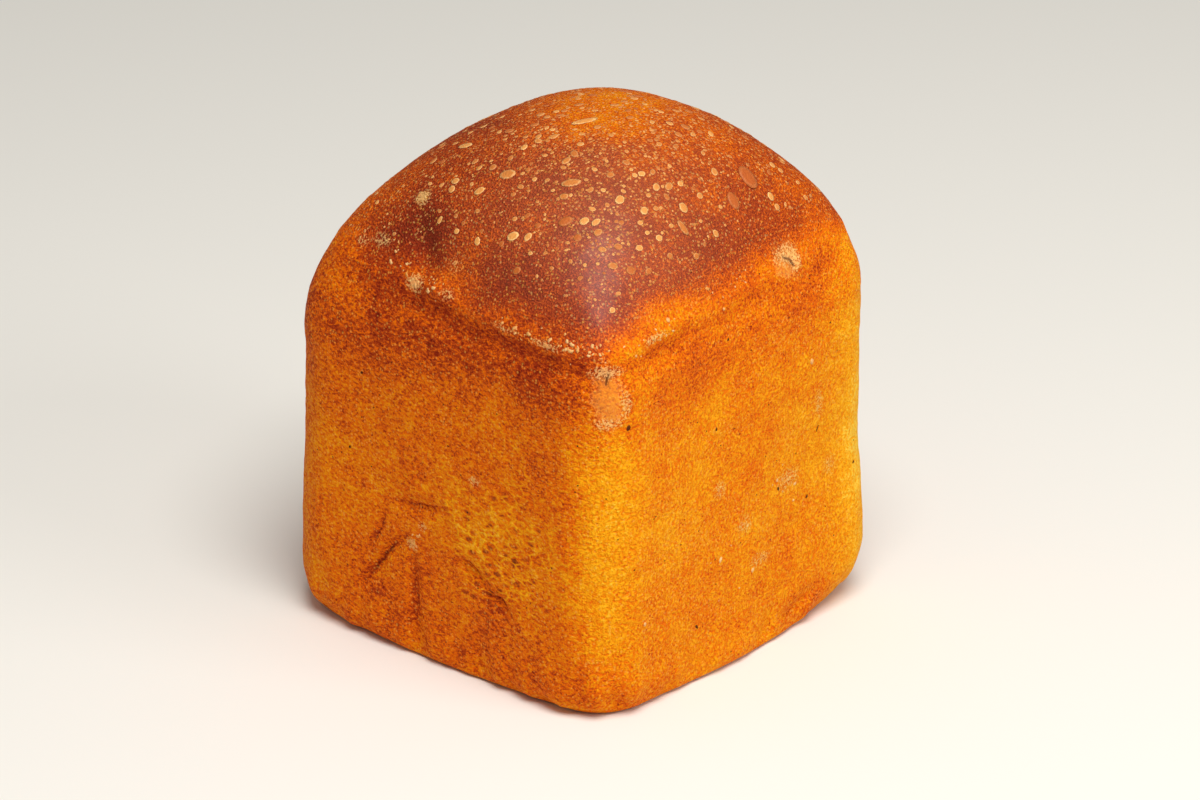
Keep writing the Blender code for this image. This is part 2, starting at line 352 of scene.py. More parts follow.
BASE_LEVEL = 0.0002  # what lies lower than this belongs to the underside
BASE_HALF = 0.048  # half the width of the hollowed part
BASE_BLEND = 0.01
SHARP_FOLDS = (  # strength and the places that each fold or small crack runs through
    (0.9, ((-8.8, -55.1, 34.5), (-15, -55.2, 29),
           (-20.5, -55.3, 22), (-26.2, -55.4, 14))),
    (0.66, ((-7.8, -55.1, 32.5), (-7, -55.3, 20), (-8, -55.5, 6))),
    (0.8, ((-18, -54.9, 42), (-7, -54.9, 43.2), (7.5, -54.9, 46.5))),
    (0.8, ((5, -55.1, 32.5), (10.5, -55.1, 33),
           (14.2, -55.1, 30.5), (17.5, -55.1, 25.5))),
    (0.8, ((15, -55.1, 26.5), (21.6, -55.1, 26.2), (26.2, -55.1, 21.5))),
    (0.75, ((-15.5, -54.9, 42.5), (-18.5, -55, 33), (-24, -55.1, 24))),
    (1.2, ((53.6, -49.2, 94.5), (52.9, -49.9, 93.2), (52.6, -50.3, 91.2))),
    (1.3, ((52, 16.5, 104.8), (52.5, 19.5, 103), (53, 21, 100))),
    (0.9, BACK_FOLD),
    (0.7, BACK_BRANCH),
    (0.8, LEFT_FOLD),
)
SIDE_FACE = 0.05  # a fold farther out than this lies on a side face
FACING_LEAST = 0.3  # how far the crust has to face the fold's side, as a cosine


def dragged(points):
    """Places with the slant direction squeezed, so that noise made from them is drawn out along it."""
    slant = np.array(CELL_SLANT)
    along = points @ slant
    return points + (CELL_STRETCH - 1) * along[:, None] * slant


def cell_walls(points, size):
    """Height between 0, in the middle of a cell, and 1, on its wall."""
    reached = []
    for place in (dragged(points) / size).tolist():
        distances, _ = noise.voronoi(place)
        reached.append(distances[0] / max(distances[1], 1e-6))
    return np.array(reached)


def crags(points, crown):
    share = 1 - (1 - CRAG_SHARE_ON_DOME) * crown
    return share * sum(height * soft_noise(points, wavelength, shift=11.0) for wavelength, height in CRAGS)


def beside_fold(points, outward, line):
    """How near points are to a fold, fading at its ends, and how far to its side, along the crust."""
    gap, side, fade = near_line(points, line, outward)
    start = np.array(line[0]) * MILLIMETRE
    face = np.sign(start * np.array((1, 1, 0)) * (np.abs(start) > SIDE_FACE))
    near = bell(gap, FOLD_REACH / 2) * fade * (outward @ face > FACING_LEAST)
    return near, np.clip(side, -FOLD_REACH, FOLD_REACH)


cells_gap = np.linalg.norm(form - np.array(CELLS_CENTRE), axis=1)
wavelength, strength = CELLS_WAVER
coarse = eased(1.5 - cells_gap / CELLS_RADIUS + strength * soft_noise(form, wavelength, shift=2.0))
outward = vertex_normals(loaf)
fold_near = np.zeros(len(form))
fold_side = np.full(len(form), FOLD_REACH)
for strength, line in SHARP_FOLDS:
    near, side = beside_fold(form, outward, line)
    stronger = strength * near > fold_near
    fold_side = np.where(stronger, side, fold_side)
    fold_near = np.where(stronger, strength * near, fold_near)
above_lip = height_over_lip(form)
wavelength, strength = CROWN_WAVER
crown = eased((above_lip + CROWN_START + strength * soft_noise(form, wavelength, shift=51.0)) / CROWN_BLEND)
fold_step = bell(fold_side, FOLD_LINE_WIDTH) - FOLD_OVERLAP * eased(0.5 + 0.5 * fold_side / FOLD_LINE_WIDTH)
fine_relief = crags(form, crown) - FOLD_LINE_DEPTH * fold_near * fold_step
fine_relief += CELL_DEPTH * coarse * (cell_walls(form, CELL_SIZE) - CELL_LEVEL)
form += outward * (fine_relief * foot_fade)[:, None]
wavelength, depth = BASE_HOLLOWS
underside = 1 - eased(plain_form[:, 2] / BASE_LEVEL)
hollows = depth * np.clip(soft_noise(form, wavelength, shift=4.0) + 0.2, 0, 1)
inward = eased((BASE_HALF - np.maximum(np.abs(form[:, 0]), np.abs(form[:, 1]))) / BASE_BLEND)
form[:, 2] = np.maximum(form[:, 2], 0) + underside * inward * hollows
move_vertices(loaf, form)

# Browning: how far each place was baked, from 0 for pale gold to 1 for dark mahogany, with some painted light
# and shade mixed in. The tin's walls baked the sides evenly, the upright edges stayed pale, and the open dome
# took the most heat.
SIDE_BROWNING = (  # direction that the front, right, back, left and underside face, and their browning
    ((0, -1, 0), 0.52),
    ((1, 0, 0), 0.375),
    ((0, 1, 0), 0.5),
    ((-1, 0, 0), 0.51),
    ((0, 0, -1), 0.42),
)
DOME_BROWNING = 0.74
RIM_BAND = (0.089, 0.009, 0.14)  # height, half width and how much darker
PALE_EDGES_WITH_PAINTED_BOUNCE = (  # x, y, width, how much paler
    (0.052, -0.05, 0.008, 0.165),
    # This back right edge is paler partly in its own colour and partly with painted yellow bounce light
    (0.053, 0.048, 0.01, 0.34),
    (-0.054, -0.048, 0.01, 0.08),
    (-0.051, 0.05, 0.01, 0.04),
)
PALE_EDGE_HEIGHT = (0.045, 0.045)  # where the edges are palest, and how far up and down
# Most patches follow the crust's own bake. Some paint light and shade: the dent under the dome's front left
# crease
# and the band under the front lip are darker with painted shade, the right lip's crest is paler with a
# painted highlight,
# and the dome's top and the back right edge are paler with painted reflected light
BAKE_AND_PAINTED_LIGHT_PATCHES = (  # centre, radius along the crust, radius in height, change
    ((-2, 12, 136), 20, 14, -0.28),
    ((-11, -40, 116), 8, 8, 0.08),
    ((41, 4, 122), 10, 8, -0.09),
    ((52, -18, 106), 12, 5, -0.04),
    ((53, 0, 100), 10, 3, 0.08),
    ((53, 15, 104), 6, 4, -0.05),
    ((-26, -39, 116), 5, 6, -0.08),
    ((-31, -49, 101), 8, 5, 0.07),
    ((-8, -36, 122), 10, 5, -0.06),
    ((-22, -40, 113), 10, 7, 0.1),
    ((20, -46, 109), 9, 7, 0.12),
    ((6, -47, 108), 8, 6, -0.05),
    ((52, 36, 101), 12, 7, 0.14),
    ((-33, -54, 77), 22, 11, 0.08),
    ((-34, -52, 92), 9, 6, -0.12),
    ((55, 4, 87), 30, 9, -0.05),
    ((55, -34, 89), 10, 8, -0.06),
    ((-15, -54, 86), 30, 10, 0.05),
    ((-11, -49, 103), 4, 3, -0.22),
    ((-3, -49, 105), 10, 3, -0.13),
    ((1, -46, 109), 5, 4, -0.12),
    ((-40, -54, 34), 14, 24, -0.04),
    ((54, 44, 90), 10, 16, -0.1),
    ((53.5, -30, 98.5), 14, 1.8, -0.05),
    ((54, 22, 96), 12, 8, 0.05),
    ((12, -4, 136), 12, 10, -0.1),
    ((30, 20, 131), 14, 14, -0.12),
    ((48, 30, 112), 14, 12, -0.08),
    ((-10, -46, 110), 8, 9, 0.14),
    ((-2, -53, 100.5), 46, 5.5, 0.11),
    ((53, -6, 100), 22, 4.5, 0.06),
    ((50, -50, 99), 10, 5, 0.1),
    ((50.7, -49, 88), 5.5, 8.5, 0.05),
    ((-14, -46, 105), 14, 7, 0.08),
    ((-40, -34, 110), 14, 11, -0.12),
    ((20, -54, 94), 24, 6, 0.06),
    ((36, -54, 86), 8, 10, 0.06),
    ((55, -20, 86), 14, 12, 0.08),
    ((55, 12, 90), 16, 8, 0.06),
    ((56, 30, 52), 14, 18, -0.05),
    ((56, -34, 66), 10, 14, 0.05),
    ((57, -30, 14), 22, 12, 0.06),
    ((51, -50, 8), 10, 9, 0.12),
    ((-36, -54, 47), 12, 16, -0.05),
    ((56, -2, 38), 10, 8, -0.05),
    ((57, 24, 7), 10, 6, 0.18),
    ((22, -55, 45), 16, 14, -0.06),
    ((-15, -55, 12), 20, 12, 0.06),
    ((16, -55, 20), 12, 10, 0.08),
    ((4, 55, 40), 18, 16, -0.1),
    ((-20, 54, 92), 20, 7, 0.1),
    ((-55, 4, 88), 20, 10, 0.08),
    ((-56, 20, 40), 14, 16, -0.04),
)
BROWNING_MOTTLE = ((0.021, 0.07), (0.0085, 0.07), (0.0042, 0.06))  # wavelength and strength


def browning(points, normals):
    facing = [np.clip(normals @ np.array(direction), 0, 1) ** 2 for direction, _ in SIDE_BROWNING]
    sides = sum(share * level for share, (_, level) in zip(facing, SIDE_BROWNING)) / sum(facing)
    height = points[:, 2]
    band_height, band_width, band = RIM_BAND
    sides = sides + band * bell(height - band_height, band_width)
    palest, spread = PALE_EDGE_HEIGHT
    for x, y, width, change in PALE_EDGES_WITH_PAINTED_BOUNCE:
        sides = sides - change * bell(plan_gap(points, x, y), width) * bell(height - palest, spread)
    total = sides * (1 - crown) + DOME_BROWNING * crown
    for centre, along, upward, change in BAKE_AND_PAINTED_LIGHT_PATCHES:
        total += change * patch(points, centre, along, upward)
    for wavelength, strength in BROWNING_MOTTLE:
        total += strength * soft_noise(points, wavelength, shift=21.0)
    return np.clip(total, 0, 1)


crust_browning_with_painted_light = browning(form, vertex_normals(loaf))

# Gloss and haze: the dome shines faintly above its front right corner, and round there its red-brown colour
# carries a painted haze of reflected light
SHEEN_CENTRE = (0.037, -0.034, 0.115)
SHEEN_REACH = 0.027
PAINTED_HAZE_CENTRE = (0.026, -0.018, 0.125)
PAINTED_HAZE_REACH = 0.03
sheen = crown * bell(np.linalg.norm(form - np.array(SHEEN_CENTRE), axis=1), SHEEN_REACH)
haze = bell(np.linalg.norm(form - np.array(PAINTED_HAZE_CENTRE), axis=1), PAINTED_HAZE_REACH)

# Thin skins and torn dough: where a bubble lay just under the crust its skin stayed pale and glassy, and
# along the lip and the folds the torn dough shows as small pale crumbs.
THIN_SKINS = (  # centre, radius along the crust, radius in height
    ((51.2, -48.5, 88), 4.2, 7.8),
    ((51.8, 18.4, 103), 5.2, 4.6),
    ((-18.6, -38, 118.6), 2.6, 1.8),
    ((-50, 46.5, 87), 4, 5),
    ((-52, 10, 99), 5, 3.6),
    ((16, 52.5, 102), 5, 3),
)
TORN_SPOTS = (  # centre, radius along the crust, radius in height, strength
    ((51, -48.6, 94.5), 4.2, 1.8, 1.0),
    ((54.5, -45, 86), 1.8, 3.4, 0.8),
    ((51.2, -48.6, 81.2), 3.6, 1.8, 0.8),
    ((51, 17.8, 104.5), 4, 2.6, 0.9),
    ((52.5, 21.5, 101.5), 2.4, 4, 0.7),
    ((-18.6, -38, 118.6), 2.6, 2, 1.0),
    ((-9.9, -49.9, 101.6), 3, 2.2, 1.0),
    ((1.6, -50.1, 102.2), 2.8, 1.4, 0.9),
    ((-24.8, -45.8, 107.7), 3.6, 1.8, 0.7),
    ((-31.6, -45.8, 105.8), 2.6, 1.6, 0.6),
    ((1, -46, 108), 4, 3, 0.5),
    ((-8.3, -55.1, 31.7), 2.2, 1.8, 0.8),
    ((-4.5, -55, 37.9), 1.8, 1.4, 0.7),
    ((13.1, -55, 56), 3, 1.6, 0.6),
    ((55.9, -11, 51.3), 3, 3, 0.53),
    ((56.1, 16.5, 44.3), 6, 4, 0.53),
    ((56.3, -1.4, 38.3), 4, 3, 0.53),
    ((56.6, 4.3, 26.5), 5, 2.6, 0.53),
    ((56, 29, 61), 2.4, 6, 0.5),
    ((56.3, 34, 42), 4, 4, 0.5),
    ((20, 50, 103), 6, 2, 0.8),
    ((-10, 51, 102), 4, 2, 0.8),
    ((-48, 20, 104), 5, 2.4, 0.8),
)
TORN_LIP = 0.85
TORN_LIP_WIDTH = 0.0011
TORN_LIP_PATCHES = (0.01, 1.4, 0.4)  # wavelength, strength and mean of what is torn along the lip
TORN_LIP_LEAST = 0.2  # a lip weaker than this isn't torn
UNDER_LIP_PAINTED_SHADE = (0.0032, 0.0016)  # how far below the lip the line of painted shade under it lies, and its half width

skin = np.zeros(len(form))
for centre, along, upward in THIN_SKINS:
    skin = np.maximum(skin, patch(form, centre, along, upward))
torn = sum(strength * patch(form, centre, along, upward) for centre, along, upward, strength in TORN_SPOTS)
wavelength, strength, mean = TORN_LIP_PATCHES
lip_patches = np.clip(mean + strength * soft_noise(form, wavelength, shift=9.0), 0, 1)
lip_line = np.clip(lip_strength(form) - TORN_LIP_LEAST, 0, 1) * bell(above_lip, TORN_LIP_WIDTH)
torn = np.clip(torn + TORN_LIP * lip_line * lip_patches, 0, 1)
# Painted shade: a dark line just under the lip, where the lip's overhang shades the crust
line_drop, line_width = UNDER_LIP_PAINTED_SHADE
under_lip = np.clip(lip_strength(form), 0, 1) * bell(above_lip + line_drop, line_width)

# Crust piece: the loaf's outer skin, closed all round. It stands in for the plain solid and carries, at each
# vertex, what the baking did there, with the painted light and shade that go into its colour.


def finished_mesh(name, shape):
    """The mesh of a shape that is complete, with smooth shading."""
    mesh = bpy.data.meshes.new(name)
    shape.to_mesh(mesh)
    shape.free()
    mesh.shade_smooth()
    return mesh


def placed(name, data):
    """An object in the scene with that mesh, light or camera."""
    thing = bpy.data.objects.new(name, data)
    bpy.context.scene.collection.objects.link(thing)
    return thing


def carry(mesh, name, values):
    """Stores one value for each vertex under a name that a finish can read."""
    layer = mesh.attributes.new(name, "FLOAT", "POINT")
    layer.data.foreach_set("value", values.astype(np.float32))


crust_mesh = finished_mesh("loaf_crust", loaf)
crust_values = dict(
    browning=crust_browning_with_painted_light, crown=crown, sheen=sheen, haze=haze, skin=skin, torn=torn, coarse=coarse,
    under_lip=under_lip, fold_near=fold_near, fold_side=fold_side,
)
for name, values in crust_values.items():
    carry(crust_mesh, name, values)
crust = placed("loaf_crust", crust_mesh)
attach(crust, "root")
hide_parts("loaf")


def worked_out(operation, swapped=False):
    """A method of Signal that adds a Math node for one of Python's own signs."""

    def method(signal, other):
        first, second = (other, signal) if swapped else (signal, other)
        return signal.finish.maths(operation, first, second)

    return method


class Signal:
    """A value in a finish. Python's own signs on it add the Math nodes that work the result out."""

    def __init__(self, finish, socket):
        self.finish = finish
        self.socket = socket

    __add__ = worked_out("ADD")
    __radd__ = worked_out("ADD", swapped=True)
    __sub__ = worked_out("SUBTRACT")
    __rsub__ = worked_out("SUBTRACT", swapped=True)
    __mul__ = worked_out("MULTIPLY")
    __rmul__ = worked_out("MULTIPLY", swapped=True)
    __truediv__ = worked_out("DIVIDE")
    __lt__ = worked_out("LESS_THAN")


class Finish:
    """A node-made finish with one Principled shader."""

    def __init__(self, name, **constants):
        self.material = bpy.data.materials.new(name)
        self.material.use_nodes = True
        self.tree = self.material.node_tree
        self.shader = self.tree.nodes["Principled BSDF"]
        for socket, value in constants.items():
            self.shader.inputs[socket.replace("_", " ")].default_value = value
        self.place = self.node("ShaderNodeTexCoord", output="Object")

    def node(self, kind, settings=(), sockets=(), output=0):
        """Adds a node, sets it up, fills its sockets by name or number and gives back one of its outputs."""
        node = self.tree.nodes.new(kind)
        for name, value in dict(settings).items():
            if name == "stops":
                for _ in value[2:]:
                    node.color_ramp.elements.new(0.5)
                for element, (position, colour) in zip(node.color_ramp.elements, value):
                    element.position = position
                    element.color = (*colour, 1.0)
            else:
                setattr(node, name, value)
        for name, value in dict(sockets).items():
            if isinstance(value, Signal):
                self.tree.links.new(value.socket, node.inputs[name])
            else:
                node.inputs[name].default_value = value
        return Signal(self, node.outputs[output])

    def maths(self, operation, first, second=0.0):
        return self.node("ShaderNodeMath", {"operation": operation}, {0: first, 1: second})

    def at(self, name):
        """The value that the piece's vertices carry under that name."""
        return self.node("ShaderNodeAttribute", {"attribute_name": name}, output="Fac")

    def step(self, value, low, high):
        """Soft step from 0 to 1 as the value passes from low to high."""
        sockets = {"Value": value, "From Min": low, "From Max": high}
        return self.node("ShaderNodeMapRange", {"interpolation_type": "SMOOTHSTEP"}, sockets)

    def grain(self, size, place=None, detail=2.0, roughness=0.5, distortion=0.0):
        """Cloudy noise from 0 to 1, with spots of about that size and an even share of light and dark."""
        sockets = {"Vector": place or self.place, "Scale": 1 / size, "Detail": detail}
        sockets.update({"Roughness": roughness, "Distortion": distortion})
        return self.step(self.node("ShaderNodeTexNoise", {}, sockets, "Fac"), 0.28, 0.72)

    def cells(self, size, place=None, feature="F1", randomness=1.0):
        sockets = {"Vector": place or self.place, "Scale": 1 / size, "Randomness": randomness}
        return self.node("ShaderNodeTexVoronoi", {"feature": feature}, sockets, "Distance")

    def spots(self, size, share, radii, softness=0.25):
        """Round spots, one in a share of the cells, with radii between two shares of the cell size."""
        smallest, largest = radii
        distance = self.cells(size)
        cell_draw = Signal(self, distance.socket.node.outputs["Color"])
        chosen = self.node("ShaderNodeSeparateColor", {}, {0: cell_draw}, 0)
        width = Signal(self, chosen.socket.node.outputs[1])
        radius = smallest + (largest - smallest) * width
        return self.step(distance / radius, 1 + softness, 1 - softness) * (chosen < share)

    def turned(self, degrees, scale):
        """Places turned about Y and then scaled, for grain that runs in one direction."""
        sockets = {"Vector": self.place, "Rotation": (0.0, math.radians(degrees), 0.0), "Scale": scale}
        return self.node("ShaderNodeMapping", {"vector_type": "POINT"}, sockets)

    def mixed(self, factor, first, second):
        settings = {"data_type": "RGBA", "clamp_factor": True}
        return self.node("ShaderNodeMix", settings, {0: factor, 6: first, 7: second}, 2)

    def feed(self, socket, value):
        self.tree.links.new(value.socket, self.shader.inputs[socket])

    def bump(self, height, distance, strength=1.0):
        sockets = {"Height": height, "Distance": distance, "Strength": strength}
        self.feed("Normal", self.node("ShaderNodeBump", {}, sockets, "Normal"))


# Crust finish: baked starch and sugar, dull and grainy on the sides and faintly glossy on the dome. Its grain
# is just under a millimetre, slanted where the dough was dragged, and darker in its pits.
BAKED_COLOURS = (  # from pale to dark
    (0.0, (1.0, 0.62, 0.06)),
    (0.14, (1.0, 0.44, 0.008)),
    (0.28, (0.93, 0.34, 0.004)),
    (0.42, (0.85, 0.222, 0.002)),
    (0.56, (0.8, 0.128, 0.002)),
    (0.7, (0.49, 0.062, 0.005)),
    (0.84, (0.31, 0.025, 0.004)),
    (1.0, (0.17, 0.012, 0.003)),
)
GLINT_COLOUR = (1.0, 0.5, 0.08, 1.0)
DOT_COLOUR = (0.92, 0.48, 0.15, 1.0)
BRICK_AND_HAZE_COLOUR = (0.4, 0.1, 0.042, 1.0)
SHADED_HOLLOW_COLOUR = (0.3, 0.11, 0.01, 1.0)
CRACK_SHADE_COLOUR = (0.14, 0.02, 0.003, 1.0)
TORN_COLOUR = (0.97, 0.66, 0.25, 1.0)
SKIN_COLOUR = (0.72, 0.28, 0.02, 1.0)
SKIN_GLOW_COLOUR = (0.92, 0.56, 0.2, 1.0)
WORM_SIZE = 0.00078
WORM_TURN = -42
WORM_STRETCH = (0.6, 1.0, 1.0)
SAND_SIZE = 0.00056
CLOUD_SIZE = 0.0034
PIT_SIZE = 0.001
PIT_EDGE = (0.34, 0.14)
PIT_BROWNING = (0.15, 0.4)
FOLD_WAVER = 0.0005
FOLD_LINE_EDGE = (0.00045, 0.00005)
FOLD_LINE_ENDS = (0.55, 0.95)
FOLD_SHADE_EDGE = (0.0018, -0.0002)
COARSE_SIZE = 0.002
COARSE_TURN = -50
COARSE_STRETCH = (0.5, 1.0, 1.0)
COARSE_GAPS = (0.15, 0.75)
COARSE_HOLLOW = (0.42, 0.16)
COARSE_RIM = (0.22, 0.06)
BRICK_AND_HAZE_BROWNING = (0.45, 0.75)
GLINT_SIZE = 0.00085
GLINT_RADII = (0.18, 0.4)
DOT_SIZE = 0.001
DOT_RADII = (0.14, 0.36)
SKIN_EDGE = (0.22, 0.8)
SKIN_RIM = (0.7, 0.4)
SKIN_GLOW = (0.2, 0.7)
TORN_EDGE = (0.3, 0.8)
TORN_LEAST = (0.15, 0.45)
BUMP_DEPTH = 0.00028
CLOUD_BAKE = 0.05  # by how much each feature deepens the bake, and how strong the painted shade and light of the lip, folds and cells are
GRAIN_BAKE = 0.33
GRAIN_LOSS_ON_DOME = 0.45
SAND_BAKE = 0.12
PIT_BAKE = 0.22
UNDER_LIP_SHADE_DARKENING = 0.09
FOLD_PAINTED_SHADE = 0.3
FOLD_LINE_PAINTED_SHADE = 0.22
FOLD_LIP_PAINTED_LIGHT = 0.12
HOLLOW_PAINTED_SHADE = 0.24
RIM_PALENESS_AND_LIGHT = 0.26
COARSE_GAP_SAND = 0.35
COARSE_RIM_SAND = 0.12
SHADED_HOLLOW_TINT = 0.35  # how strongly each feature's colour is mixed in, painted shade and light among them
BRICK_AND_HAZE_TINT = (0.1, 0.46)  # away from the painted haze, and how much more in it
GLINT_SHARE = 0.42
GLINT_TINT = 0.38
DOT_SHARE = 0.5
DOT_TINT = 0.42
SKIN_TINT = 0.42
SKIN_RAGGEDNESS = (0.35, 0.25, 0.7)  # by the clouds, the grain and the sand
TORN_TINT = 0.8
TORN_RAGGEDNESS = (0.9, 0.5)  # by the sand and the grain
CRACK_SHADE_TINT = (0.45, 0.2)  # painted shade of the cracks on plain crust, and how much more on a thin skin

baked = Finish("crust_finish", Coat_Roughness=0.42, Specular_IOR_Level=0.04)
crown_share = baked.at("crown")
bake_with_painted_light = baked.at("browning")
worm_place = baked.turned(WORM_TURN, WORM_STRETCH)
worm = baked.grain(WORM_SIZE, worm_place, detail=2.0, roughness=0.7, distortion=0.4)
sand = baked.grain(SAND_SIZE, detail=1.5, roughness=0.65)
clouds = baked.grain(CLOUD_SIZE, detail=3.0)
fine = worm * (1 - crown_share) + sand * crown_share

# Grain: the hollows between the crags baked darker, and the finest pits darkest
pits = baked.step(baked.cells(PIT_SIZE, randomness=0.9), *PIT_EDGE) * baked.step(bake_with_painted_light, *PIT_BROWNING)
grain_bake = GRAIN_BAKE * (fine - 0.5) * (1 - GRAIN_LOSS_ON_DOME * crown_share)
bake_with_painted_shading = bake_with_painted_light + CLOUD_BAKE * (clouds - 0.5) - grain_bake - SAND_BAKE * (sand - 0.5)
# Painted shade under the lip deepens the colour there
bake_with_painted_shading = bake_with_painted_shading + PIT_BAKE * pits * clouds + UNDER_LIP_SHADE_DARKENING * baked.at("under_lip")

# Folds: a line of painted shade, with the dough's lip paler by painted light on one side and darker by
# painted shade on the other
fold_share = baked.at("fold_near")
side = baked.at("fold_side") + FOLD_WAVER * (clouds - 0.5)
fold_line = baked.step(baked.maths("ABSOLUTE", side), *FOLD_LINE_EDGE)
fold_line = fold_line * baked.step(fold_share, *FOLD_LINE_ENDS)
bake_with_painted_shading = bake_with_painted_shading + FOLD_PAINTED_SHADE * fold_share * baked.step(side, *FOLD_SHADE_EDGE)
bake_with_painted_shading = bake_with_painted_shading + FOLD_LINE_PAINTED_SHADE * fold_line - FOLD_LIP_PAINTED_LIGHT * fold_share

# Coarse cells where the dough was dragged: slanted hollows darkened with painted shade, and rims pale partly
# in their own colour and partly with painted light
cell_place = baked.turned(COARSE_TURN, COARSE_STRETCH)
coarse_share = baked.at("coarse") * baked.step(clouds + COARSE_GAP_SAND * sand, *COARSE_GAPS)
hollow_share = baked.step(baked.cells(COARSE_SIZE, cell_place), *COARSE_HOLLOW) * coarse_share
cell_wall = baked.cells(COARSE_SIZE, cell_place, "DISTANCE_TO_EDGE") + COARSE_RIM_SAND * sand
rim_share = baked.step(cell_wall, *COARSE_RIM) * coarse_share
bake_with_painted_shading = bake_with_painted_shading + HOLLOW_PAINTED_SHADE * hollow_share - RIM_PALENESS_AND_LIGHT * rim_share

# Colour: the ramp from pale to dark, greyer with painted shade in the coarse hollows, and brick red mixed
# with a painted haze of reflected light on the dome
colour = baked.node("ShaderNodeValToRGB", {"stops": BAKED_COLOURS}, {0: bake_with_painted_shading})
colour = baked.mixed(SHADED_HOLLOW_TINT * hollow_share, colour, SHADED_HOLLOW_COLOUR)
# Painted reflection: a mauve haze of the light's sheen mixed into the dome's own brick red
everywhere, in_painted_haze = BRICK_AND_HAZE_TINT
brick_and_haze_share = everywhere + in_painted_haze * baked.at("haze")
brick_and_haze_share = brick_and_haze_share * crown_share * baked.step(bake_with_painted_light, *BRICK_AND_HAZE_BROWNING)
colour = baked.mixed(brick_and_haze_share, colour, BRICK_AND_HAZE_COLOUR)

# Glints of the highest grains, and dots of the dome: blisters too small to be pieces of their own
glints = baked.spots(GLINT_SIZE, GLINT_SHARE, GLINT_RADII, softness=0.4) * (1 - baked.at("under_lip"))
colour = baked.mixed(GLINT_TINT * glints, colour, GLINT_COLOUR)
dots = baked.spots(DOT_SIZE, DOT_SHARE, DOT_RADII) * crown_share
colour = baked.mixed(DOT_TINT * dots, colour, DOT_COLOUR)

# Thin skins: orange and smooth in the middle, with a pale glassy rim
by_clouds, by_grain, by_sand = SKIN_RAGGEDNESS
skin_depth = baked.at("skin") + by_clouds * (clouds - 0.5) + by_grain * (worm - 0.5)
skin_share = baked.step(skin_depth, *SKIN_EDGE)
rim_of_skin = skin_share * baked.step(skin_depth, *SKIN_RIM)
glow = baked.step(rim_of_skin + by_sand * (sand - 0.5), *SKIN_GLOW)
colour = baked.mixed(SKIN_TINT * skin_share, colour, baked.mixed(glow, SKIN_COLOUR, SKIN_GLOW_COLOUR))

# Torn dough: pale crumbly flecks, and the painted shade of the folds and cracks over everything
by_sand, by_grain = TORN_RAGGEDNESS
torn_depth = baked.at("torn") + by_sand * (sand - 0.5) + by_grain * (worm - 0.5)
torn_share = baked.step(torn_depth, *TORN_EDGE)
torn_share = torn_share * baked.step(baked.at("torn"), *TORN_LEAST) * (0.55 + 0.45 * glints)
colour = baked.mixed(TORN_TINT * torn_share, colour, TORN_COLOUR)
on_crust, more_on_skin = CRACK_SHADE_TINT
crack_shade_share = (on_crust + more_on_skin * skin_share) * fold_line
baked.feed("Base Color", baked.mixed(crack_shade_share, colour, CRACK_SHADE_COLOUR))
baked.feed("Roughness", 0.6 + 0.22 * (0.5 - fine) - 0.25 * skin_share)
baked.feed("Coat Weight", 0.52 * baked.at("sheen") + 0.45 * skin_share)
height = (fine + 0.5 * sand) * (1 - 0.6 * skin_share) + 0.4 * clouds + 0.5 * torn_share
height = height + 0.6 * rim_share - 0.9 * hollow_share - 1.2 * fold_line
baked.bump(height, BUMP_DEPTH)
crust_mesh.materials.append(baked.material)

# Surface finder for the small pieces that lie on the crust
crust_tree = BVHTree.FromPolygons(form.tolist(), [face.vertices[:] for face in crust_mesh.polygons])


def seat(place):
    """The crust's point nearest to a place, and the outward normal there."""
    location, normal, _, _ = crust_tree.find_nearest(Vector(place))
    return location, normal


def seated_matrix(place, turn, size, sink=0.0):
    """Puts a small piece on the crust, its own Z along the crust's normal."""
    location, normal = seat(place)
    facing = normal.to_track_quat("Z", "Y").to_matrix().to_4x4()
    down = Matrix.Translation(location - normal * sink)
    return down @ facing @ Matrix.Rotation(turn, 4, "Z") @ Matrix.Diagonal((*size, 1.0))


def joined(name, template, matrices):
    """One mesh of many copies of a template mesh, each at its own place."""
    shape = bmesh.new()
    for matrix in matrices:
        template.transform(matrix)
        shape.from_mesh(template)
        template.transform(matrix.inverted())
    return finished_mesh(name, shape)


def add_piece(name, mesh, finish):
    mesh.materials.append(finish.material)
    piece = placed(name, mesh)
    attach(piece, "root")


